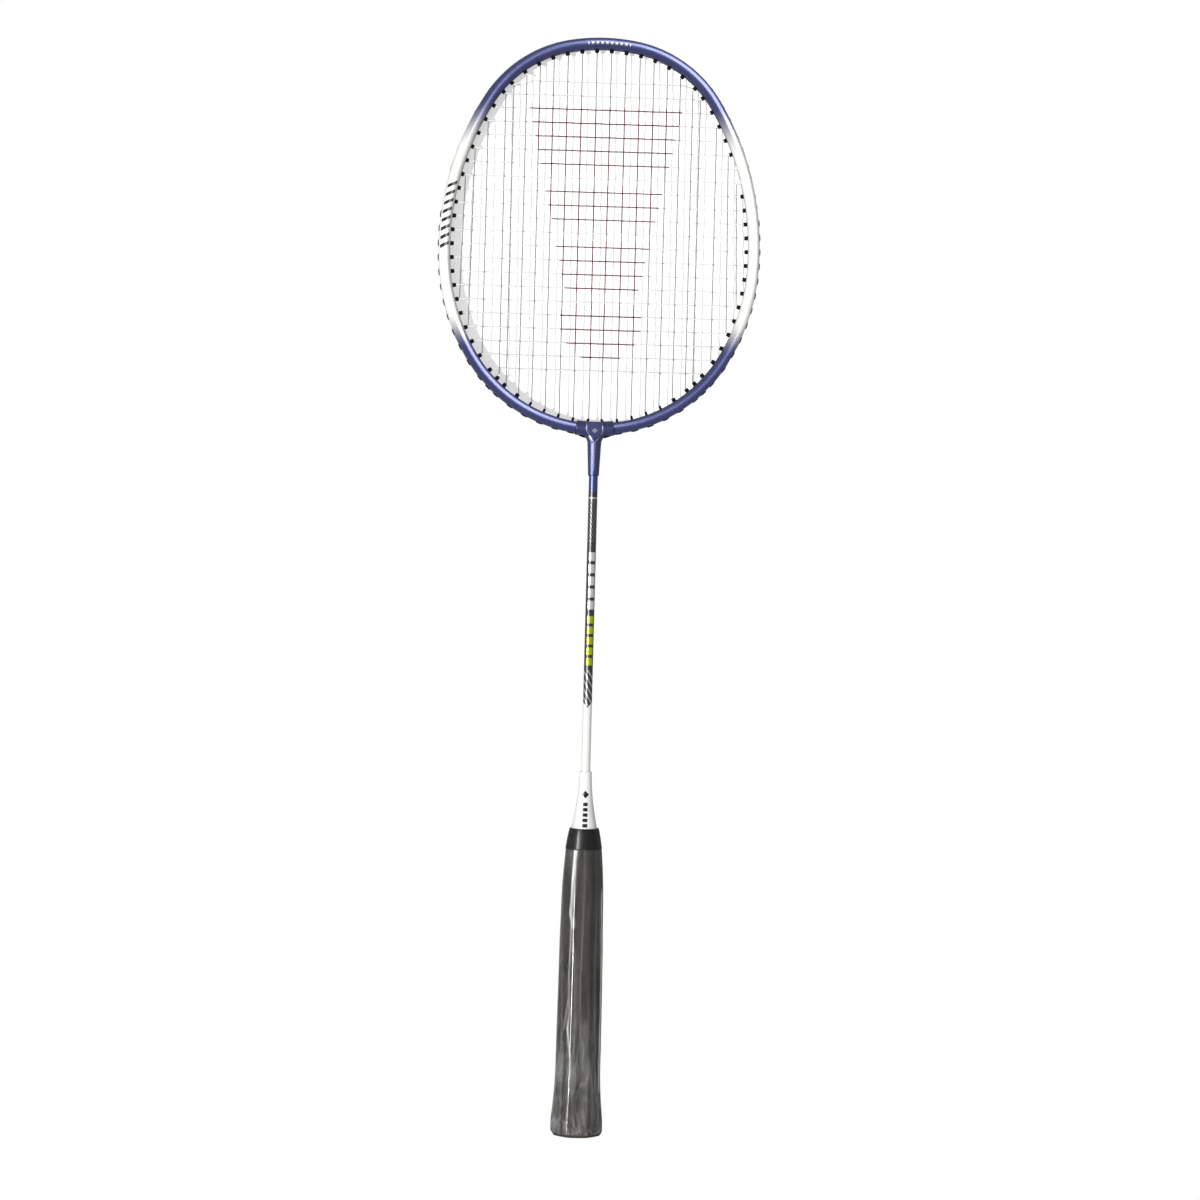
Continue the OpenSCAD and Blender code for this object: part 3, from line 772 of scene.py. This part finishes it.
def all_grommets():
    patterns = {
        "flush": grommet_pattern(TIP_DEPTH - 0.3, 3.5, 1.25),
        "stout": grommet_pattern(TIP_DEPTH, 4.1, 1.25),
        "slender": grommet_pattern(TIP_DEPTH, 4.1, 0.75),
        "joint": grommet_pattern(JOINT_TIP_DEPTH + JOINT_SEAT - SEAT, 4.1, 0.75),
    }
    black = nylon_finish("grommet_nylon", (0.004, 0.004, 0.005), (0.012, 0.012, 0.013))
    clear_nylon = nylon_finish("clear_nylon", (0.72, 0.72, 0.72), (0.85, 0.85, 0.84))
    tie_offs = [13, 14]
    for name, first, last, sides in (
        ("top_grommets", 1, 4, (-1, 1)), ("left_shoulder_grommets", 5, 11, (-1,)),
        ("right_shoulder_grommets", 5, 11, (1,)), ("left_side_grommets", 12, 25, (-1,)),
        ("right_side_grommets", 12, 25, (1,)), ("left_lower_grommets", 26, 35, (-1,)),
        ("right_lower_grommets", 26, 35, (1,)), ("joint_grommets", 36, 36, (-1, 1)),
    ):
        spots = [(k, side) for k in range(first, last + 1) for side in sides
                 if not (side > 0 and k in tie_offs)]
        grommets(patterns, name, spots, "grommet_nylon", black)
    grommets(patterns, "tie_off_grommets", [(k, 1) for k in tie_offs], "clear_nylon", clear_nylon)
    for pattern in patterns.values():
        bpy.data.objects.remove(pattern)


# ---- strings: each is one long strand, woven over and under the other
def top_hole(i):
    """From the ninth main string on, each uses every second hole."""
    return i if i < FIRST_SPREAD_MAIN else 2 * i - FIRST_SPREAD_MAIN + 1


def main_ends(i):
    """The inner ends of the i-th main string on the right, its top and its bottom."""
    top, bottom = top_hole(i), HOLES + 1 - top_hole(i)
    return along(top, 1, -tip_of(top) - 0.4), along(bottom, 1, -tip_of(bottom) - 0.4)


def main_at(i, z):
    top, bottom = main_ends(abs(i))
    part = (top.y - z) / (top.y - bottom.y)
    x = top.x + part * (bottom.x - top.x)
    return x if i > 0 else -x


def turn_over(k1, side1, k2, side2, y):
    """The strand outside the hoop from one hole to the next, sunk in the grommets' heads."""
    ends = ((k1, side1), (k2, side2))
    out1, out2 = (along(k, side, seat_of(k) + STRING_LEVEL) for k, side in ends)
    up1, up2 = (along(k, side, 1) - along(k, side, 0) for k, side in ends)
    way = (out2 - out1).normalized()
    span = (out2 - out1).length
    points = [out1 - up1 * 0.35, out1 + way * 0.35, out1 + way * 1.5]
    if 6 < span < 11:
        drop = (up1 + up2).normalized() * 0.35
        points += [out1 + way * 2.8 - drop, out2 - way * 2.8 - drop]
    points += [out2 - way * 1.5, out2 - way * 0.35, out2 - up2 * 0.35]
    return [Vector((p.x, y, p.y)) for p in points]


def hole_run(k, side, y):
    """The strand's way through a hole, from outside to the inner tip."""
    outer, inner = along(k, side, seat_of(k) + 0.4), along(k, side, -tip_of(k) - 0.4)
    return [Vector((outer.x, y, outer.y)), Vector((inner.x, y, inner.y))]


def over(i, j):
    """Whether main i passes in front of cross j: the weave's checkerboard."""
    return 1 if (ORDER.index(i) + j) % 2 == 0 else -1


def woven(spots, signs, ends):
    """Points through crossings, each passed on its side, eased between neighbours."""
    path = []
    quarter = (0.25, 0.5, 0.75)
    for n, (spot, sign) in enumerate(zip(spots, signs)):
        path.append(Vector((spot.x, sign * STRING_Y, spot.y)))
        if n + 1 < len(spots):
            for part in quarter:
                flat = spot.lerp(spots[n + 1], part)
                y = sign * STRING_Y * math.cos(math.pi * part)
                path.append(Vector((flat.x, y, flat.y)))
    return [ends[0], *path, ends[1]]


def main_path(i):
    """A main string from its top hole down to its bottom hole."""
    side = 1 if i > 0 else -1
    top, bottom = top_hole(abs(i)), HOLES + 1 - top_hole(abs(i))
    upper, lower = hole_run(top, side, STRING_Y), hole_run(bottom, side, STRING_Y)
    rows = [j for j in range(CROSSES - 1, -1, -1)
            if lower[1].z + 1 < cross_z(j) < upper[1].z - 1]
    spots = [Vector((main_at(i, cross_z(j)), cross_z(j))) for j in rows]
    middle = woven(spots, [over(i, j) for j in rows], (upper[1], lower[1]))
    return [upper[0], *middle, lower[0]]


def cross_path(j):
    """A cross string from the left hole to the right hole."""
    k = LAST_SIDE_HOLE - j
    left, right = hole_run(k, -1, -STRING_Y), hole_run(k, 1, -STRING_Y)
    columns = [i for i in ORDER if left[1].x + 1 < main_at(i, cross_z(j)) < right[1].x - 1]
    spots = [Vector((main_at(i, cross_z(j)), cross_z(j))) for i in columns]
    middle = woven(spots, [-over(i, j) for i in columns], (left[1], right[1]))
    return [left[0], *middle, right[0]]


def strand(name, points, radius=STRING_R, closed=False):
    """A round strand along points, as a mesh."""
    clear()
    curve = bpy.data.curves.new(name, "CURVE")
    curve.dimensions = "3D"
    curve.bevel_depth = radius
    curve.bevel_resolution = 2
    curve.use_fill_caps = True
    spline = curve.splines.new("POLY")
    spline.points.add(len(points) - 1)
    for slot, point in zip(spline.points, points):
        slot.co = (*point, 1)
    spline.use_cyclic_u = closed
    piece = bpy.data.objects.new(name, curve)
    bpy.context.collection.objects.link(piece)
    only(piece)
    bpy.ops.object.convert(target="MESH")
    bpy.ops.object.mode_set(mode="EDIT")
    tidy_mesh()
    return piece


def half_main_route(side):
    """One half of the main string, from the middle of the hoop outward to its knot."""
    runs = []
    for i in range(1, MAINS + 1):
        path, holes = main_path(side * i), (top_hole(i), HOLES + 1 - top_hole(i))
        down = i % 2 == 1
        runs.append((path, holes) if down else (path[::-1], holes[::-1]))
    next_holes = [first for _, (first, _) in runs[1:]] + [MAIN_TAIL_HOLE]
    route = []
    for (path, (_, last)), next_hole in zip(runs, next_holes):
        route += path + turn_over(last, side, next_hole, side, STRING_Y)
    return route + hole_run(MAIN_TAIL_HOLE, side, STRING_Y)


def main_string(finish):
    left, right = half_main_route(-1), half_main_route(1)
    points = left[::-1] + turn_over(1, -1, 1, 1, STRING_Y) + right
    piece = strand("main_string_woven", points)
    finished(piece, "white_string", finish, "main_string", angle=60)


def cross_string(finish):
    points = hole_run(FIRST_CROSS_TAIL, -1, -STRING_Y)[::-1]
    hole, side = FIRST_CROSS_TAIL, -1
    for k in range(FIRST_CROSS_HOLE, FIRST_CROSS_HOLE + CROSSES):
        points += turn_over(hole, side, k, side, -STRING_Y)
        path = cross_path(LAST_SIDE_HOLE - k)
        points += path if side < 0 else path[::-1]
        hole, side = k, -side
    points += turn_over(hole, side, LAST_CROSS_TAIL, -1, -STRING_Y)
    points += hole_run(LAST_CROSS_TAIL, -1, -STRING_Y)
    piece = strand("cross_string_woven", points)
    finished(piece, "white_string", finish, "cross_string", angle=60)


def knots(finish):
    """Small tied knots at the ends of both strings, one modelled and copied."""
    loops = []
    count = 48
    for n in range(count):
        turn = 2 * math.pi * n / count
        loops.append(Vector((math.sin(turn) + 2 * math.sin(2 * turn),
                             math.cos(turn) - 2 * math.cos(2 * turn),
                             -math.sin(3 * turn))) * 0.2)
    pattern = strand("knot", loops, radius=0.3, closed=True)
    for name, spots, y in (
        ("main_knots", [(MAIN_TAIL_HOLE, -1), (MAIN_TAIL_HOLE, 1)], 1.1),
        ("cross_knots", [(FIRST_CROSS_TAIL, -1), (LAST_CROSS_TAIL, -1)], -1.1),
    ):
        copies = []
        for k, side in spots:
            one = copy_of(pattern, name)
            spot = along(k, side, -tip_of(k) - 1.0)
            one.location = (spot.x, y, spot.y)
            one.rotation_euler = (math.radians(70), math.radians(side * aim(k)), 0.4)
            copies.append(one)
        finished(join(name + "_tied", copies), "white_string", finish, name, angle=60)
    bpy.data.objects.remove(pattern)


# ---- the handle
def shape_at(z):
    """The grip's half width and how octagonal it is at a height."""
    if z <= GRIP_SHAPE[0][0]:
        return GRIP_SHAPE[0][1:]
    for (low, half1, eight1), (high, half2, eight2) in zip(GRIP_SHAPE, GRIP_SHAPE[1:]):
        if z <= high:
            part = (z - low) / (high - low)
            return half1 + part * (half2 - half1), eight1 + part * (eight2 - eight1)
    return GRIP_SHAPE[-1][1:]


def smooth_half(z, spread=6.0):
    """The grip's half width, eased over its profile's corners."""
    low, high = GRIP_SHAPE[0][0], GRIP_SHAPE[-1][0]
    reach = min(spread, z - low, high - z)
    samples = [shape_at(z + reach * n / 3)[0] for n in range(-3, 4)]
    return sum(samples) / len(samples)


def press(piece, lift):
    """Presses a round tube to the grip's rounded octagon, and lifts it by a rule (angle, z)."""
    for corner in piece.data.vertices:
        x, y, z = corner.co
        half = math.hypot(x, y)
        angle = math.degrees(math.atan2(y, x)) % 360
        eight = shape_at(z)[1]
        facet = math.cos(math.radians((angle + 382.5) % 45 - 22.5))
        reach = half / facet ** eight + lift(angle, z)
        turn = math.radians(angle)
        corner.co = (reach * math.cos(turn), DEPTH_RATIO * reach * math.sin(turn), z)


def grip_wrap():
    tape_pitch = 23.0
    rings = [(0.6, 13.2)]
    rings += [(z * 0.9 + 0.6, smooth_half(z * 0.9 + 0.6)) for z in range(0, 196)]
    rings += [(GRIP_TOP_Z, 10.4), (GRIP_TOP_Z, 9.2)]

    def lift(angle, z):
        if z < 1 or z > GRIP_TOP_Z - 1:
            return 0
        turn = (z / tape_pitch + angle / 360) % 1
        raised = max(0.0, 1 - abs(turn - 0.07) / 0.07)
        groove = max(0.0, 1 - abs(turn - 0.16) / 0.02)
        return 0.3 * min(1, raised * 2) - 0.3 * groove

    piece = turned("grip", rings, sides=96)
    press(piece, lift)
    return finished(piece, "grip_leatherette", leatherette_finish(), "grip_wrap", angle=60)


def ridge(off, width):
    """1 on a line and 0 beyond its width, rounded between."""
    return max(0.0, 1 - abs(off) / width) ** 2


# The film's long fold: (height, angle round the grip, strength)
FOLD_LINE = [(20, 256, 0), (44, 250, 0.35), (62, 241, 0.8), (66, 238, 1), (74, 242, 0.45),
             (100, 238, 0.4), (126, 241, 0.5), (131, 240, 0.9), (136, 234, 1), (142, 237, 0.8),
             (160, 238, 1), (176, 240, 0.9)]


def along_line(line, z):
    """The angle of a fold and its strength at a height."""
    for (low, angle1, strong1), (high, angle2, strong2) in zip(line, line[1:]):
        if low <= z <= high:
            part = (z - low) / (high - low)
            return angle1 + part * (angle2 - angle1), strong1 + part * (strong2 - strong1)
    return 0, 0


def film_lift(angle, z):
    """How far the film stands off its tube, and how white it is there: crease whitening, with a
    painted highlight along and beside the long fold.
    """
    turn = math.radians(angle)
    around = Vector((math.cos(turn), math.sin(turn), 0))
    slack = noise.noise(around * 1.4 + Vector((0, 0, z / 60)))
    folds = 1 - abs(noise.noise(around * 2 + Vector((5, 3, z / 110)))) * 2.4
    fold = max(0.0, folds) ** 5
    fine = 1 - abs(noise.noise(around * 4 + Vector((1, 9, z / 14)))) * 3
    wrinkle = max(0.0, fine) ** 6 * max(0.0, min(1.0, (95 - z) / 50))
    sway = 1.5 * noise.noise(Vector((0, 7, z / 9)))
    main_angle, main_strength = along_line(FOLD_LINE, z)
    off = angle - main_angle - sway
    main = ridge(off, 5 if off < 0 or z < 132 else 12) * main_strength
    patch = max(0.0, noise.noise(around * 2.5 + Vector((4, 2, z / 16)))) * (z < 70)
    branch = ridge(angle - 226 - (z - 66) * 0.55 - sway, 4) * (1 if 66 < z < 84 else 0) * 0.6
    strip = ridge(angle - 333 - sway, 5) * min(1, max(0, (z - 24) / 20)) * (z < 150)
    raised = 0.3 * slack + 0.15 * fold + 0.05 * wrinkle + 0.4 * main + 0.3 * branch + 0.2 * strip
    # Painted highlight: a whitened band beside the long fold, high on the grip, stands for light
    # caught on the film; the long fold's own whitening is partly painted highlight too.
    painted_highlight = ridge(off - 6, 11) * (z > 128)
    crease = (0.08 * fold + 0.15 * wrinkle + 0.75 * main + 0.5 * branch + 0.7 * strip
              + 0.12 * patch + 0.25 * painted_highlight)
    return raised, min(1.0, crease)


def film_sleeve():
    foot, head = 2.5, 174.7
    gap = 0.45
    steps = 130
    heights = [foot + (head - foot) * n / steps for n in range(steps + 1)]
    rings = [(z, smooth_half(z) + gap) for z in heights]
    piece = turned("film", rings, sides=224)
    only(piece)
    bpy.ops.object.mode_set(mode="EDIT")
    choose(lambda co: co.z < foot + 0.01 or co.z > head - 0.01, "FACE")
    bpy.ops.mesh.delete(type="ONLY_FACE")
    bpy.ops.object.mode_set(mode="OBJECT")
    crease_and_highlight_values = []
    for corner in piece.data.vertices:
        angle = math.degrees(math.atan2(corner.co.y, corner.co.x)) % 360
        crease_and_highlight_values.append(film_lift(angle, corner.co.z)[1])
    press(piece, lambda angle, z: film_lift(angle, z)[0])
    attribute = piece.data.attributes.new("crease", "FLOAT", "POINT")
    attribute.data.foreach_set("value", crease_and_highlight_values)
    shape_with(piece, "SOLIDIFY", thickness=0.12, offset=0, use_rim=True)
    return finished(piece, "clear_film", film_finish(), "film_sleeve", angle=60)


def collar():
    rings = [
        (175, 10.6), (175, 11.0), (175.25, 11.2), (176.4, 11.05), (177.2, 10.85), (180, 10.45),
        (184, 9.75), (187, 9.1), (187.4, 8.95), (187.5, 8.7), (187.5, 7.6),
    ]
    piece = turned("collar", rings, sides=96)
    press(piece, lambda angle, z: 0.07 * noise.noise(Vector((angle / 14, 0, z / 5))))
    return finished(piece, "black_rubber", rubber_finish(), "grip_collar", angle=35)


def cone():
    flare = 1.9
    tip, base = 3.75, 7.9
    rings = [(178, 7.6), (COLLAR_TOP_Z - 0.5, base)]
    steps = 36
    for n in range(steps, -1, -1):
        part = n / steps
        height = CONE_TOP_Z - part * (CONE_TOP_Z - COLLAR_TOP_Z)
        rings.append((height, tip + (base - tip) * part ** flare))
    rings[-1] = (CONE_TOP_Z - 0.25, tip)
    rings += [(CONE_TOP_Z - 0.06, tip - 0.08), (CONE_TOP_Z, tip - 0.25), (CONE_TOP_Z, 2.9)]
    piece = turned("cone", rings, sides=80)
    return finished(piece, "white_plastic", cone_finish(), "cone_cap", angle=40)


def butt_cap():
    badge_seat = 8.1
    rings = [
        (0.7, badge_seat - 0.05), (0, badge_seat), (0, 11.5), (0.15, 12.1), (0.6, 12.7), (1.5, 13.1),
        (4.5, 13.1), (8, 12.9), (12, 12.5), (15.9, 12.0), (15.9, 11.0),
    ]
    piece = turned("butt", rings, sides=96)
    press(piece, lambda angle, z: 0)
    for corner in piece.data.vertices:
        if math.hypot(corner.co.x, corner.co.y) < badge_seat + 1.2:
            corner.co.xy = corner.co.xy.normalized() * badge_seat
    return finished(piece, "black_plastic", plastic_finish(), "butt_cap", angle=35)


def dress(node, finish):
    """Gives a CAD node a better finish, and leaves its shape as it is."""
    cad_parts[node].material_slots[0].material = finish


# ---- the surface it lies on, the lights and the camera
FLOOR_Y = 0.0165
FLOOR_TILT = math.radians(90.9)


def floor_material(name, glowing):
    """A pale sheet to the camera: it glows an even white, or takes the strings' shadows. All
    other rays meet a dark sheet, so it lights little, and from behind it is clear."""
    paper = bpy.data.materials.new(name)
    paper.use_nodes = True
    nodes = Nodes(paper.node_tree)
    matt = nodes.tree.nodes["Principled BSDF"]
    settings = {"Base Color": (0.8, 0.8, 0.8, 1), "Emission Color": (1, 1, 1, 1),
                "Emission Strength": 0.42, "Roughness": 0.9, "Specular IOR Level": 0.1}
    for socket, value in settings.items():
        matt.inputs[socket].default_value = value
    sheet = nodes.node("Emission", {}) if glowing else matt.outputs[0]
    dark = nodes.node("BsdfDiffuse", {"Color": (0.2, 0.2, 0.2, 1)})
    seen = nodes.node("LightPath", {}, out="Is Camera Ray")
    behind = nodes.node("NewGeometry", {}, out="Backfacing")
    front = nodes.node("MixShader", (seen, dark, sheet))
    either_side = nodes.node("MixShader", (behind, front, nodes.node("BsdfTransparent", {})))
    nodes.put(nodes.tree.nodes["Material Output"].inputs["Surface"], either_side)
    return paper


def surface():
    """The wide floor, and the patch of it that shows through the strings."""
    floor = start(bpy.ops.mesh.primitive_plane_add, "floor", size=6, location=(0, FLOOR_Y, 0),
                  rotation=(FLOOR_TILT, 0, 0))
    place_now(floor)
    floor.data.materials.append(floor_material("pale_floor", glowing=True))
    sides = 240
    bed = start(bpy.ops.mesh.primitive_circle_add, "floor_under_bed", vertices=sides, radius=0.1,
                fill_type="NGON")
    bpy.ops.object.mode_set(mode="OBJECT")
    for n, corner in enumerate(bed.data.vertices):
        angle = 360 * (n + 0.5) / sides
        spot = on_hoop(min(angle, 360 - angle)) * MM
        side = 1 if angle < 180 else -1
        back = FLOOR_Y - spot.y * math.tan(FLOOR_TILT - math.pi / 2) - 0.0002
        corner.co = (side * spot.x, back, spot.y)
    bed.data.materials.append(floor_material("bed_floor", glowing=False))
    only(bed)
    bpy.ops.object.mode_set(mode="EDIT")
    bpy.ops.mesh.select_all(action="SELECT")
    bpy.ops.mesh.normals_make_consistent(inside=False)
    bpy.ops.object.mode_set(mode="OBJECT")
    if bed.data.polygons[0].normal.y > 0:
        bed.data.flip_normals()


def room():
    """A soft white room: white to the camera, dim in reflections, and brighter behind."""
    world = bpy.data.worlds.new("soft_room")
    world.use_nodes = True
    sky = Nodes(world.node_tree)
    glossy = sky.node("LightPath", {}, out="Is Glossy Ray")
    seen = sky.node("LightPath", {}, out="Is Camera Ray")
    level = sky.node("MapRange", {"Value": glossy, "To Min": 0.55, "To Max": 0.12})
    depth = sky.node("SeparateXYZ", {0: sky.node("TexCoord", {}, out="Generated")}, out="Y")
    behind = sky.node("MapRange", {"Value": depth, "From Max": 0.5, "To Max": 0.7})
    background = sky.tree.nodes["Background"]
    background.inputs["Color"].default_value = (1, 1, 1, 1)
    strength = sky.math("MAXIMUM", sky.math("ADD", level, behind), seen)
    sky.put(background.inputs["Strength"], strength)
    bpy.context.scene.world = world
    bpy.context.scene.view_settings.view_transform = "Standard"


def lamp(name, kind, place, aim_at, energy, **settings):
    data = bpy.data.lights.new(name, kind)
    data.energy = energy
    for key, value in settings.items():
        setattr(data, key, value)
    light = bpy.data.objects.new(name, data)
    bpy.context.collection.objects.link(light)
    light.location = place
    way = Vector(aim_at) - Vector(place)
    light.rotation_euler = way.to_track_quat("-Z", "Y").to_euler()
    return light


def lights(long_pieces, hoop_pieces):
    """A low sun for all, a window's glow on the long pieces, and a high glow on the hoop."""
    key = lamp("key", "SUN", (-1.05, -1.65, -0.24), (0, 0, 0), 2.6, angle=math.radians(1.5))
    key.visible_glossy = False
    window = lamp("left_window", "AREA", (-1.0, -1.3, 0.35), (0, 0, 0.35), 26, size=0.9)
    high = lamp("high_right", "AREA", (0.7, -1.1, 1.35), (0, 0, 0.55), 55, size=1.5)
    for glow, pieces in ((window, long_pieces), (high, hoop_pieces)):
        glow.visible_diffuse = False
        glow.visible_transmission = False
        lit = bpy.data.collections.new("lit_by_" + glow.name)
        for piece in pieces:
            lit.objects.link(piece)
        glow.light_linking.receiver_collection = lit


def camera():
    data = bpy.data.cameras.new("camera")
    data.lens = 78.6
    data.sensor_width = 36
    view = bpy.data.objects.new("camera", data)
    bpy.context.collection.objects.link(view)
    place, target = Vector((-0.05, -1.6, 0.33)), Vector((0.006, 0, 0.327))
    lean = math.radians(1.5)
    facing = (target - place).to_track_quat("-Z", "Y").to_matrix().to_4x4()
    view.matrix_world = Matrix.Translation(place) @ facing @ Matrix.Rotation(lean, 4, "Z")
    bpy.context.scene.camera = view


camera()
head = hoop()
joint = t_joint()
all_grommets()
# Painted shade: the main string is white nylon like the crosses, coloured mid grey to stand for its
# shaded side and its shadow on the floor.
painted_shade_string = string_finish("painted_shade_string", (0.24, 0.24, 0.24), (0.32, 0.32, 0.31))
white_string = string_finish("white_string", (0.84, 0.84, 0.83), (0.92, 0.92, 0.91))
main_string(painted_shade_string)
cross_string(white_string)
knots(white_string)
long_pieces = [joint, cone(), collar(), grip_wrap(), film_sleeve(), butt_cap()]
steel = metal_finish("bright_steel", (0.5, 0.5, 0.51), (0.66, 0.66, 0.67), 0.2, 0.4)
dress("shaft", shaft_finish())
dress("handle_core", wood_finish())
dress("handle_pin", steel)
dress("grip_tack", steel)
dress("hoop_spigot", metal_finish("bare_aluminium", (0.6, 0.6, 0.62), (0.8, 0.8, 0.81), 0.3, 0.5))
dress("butt_badge", label_finish())
surface()
room()
lights([*long_pieces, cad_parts["shaft"]], [head])
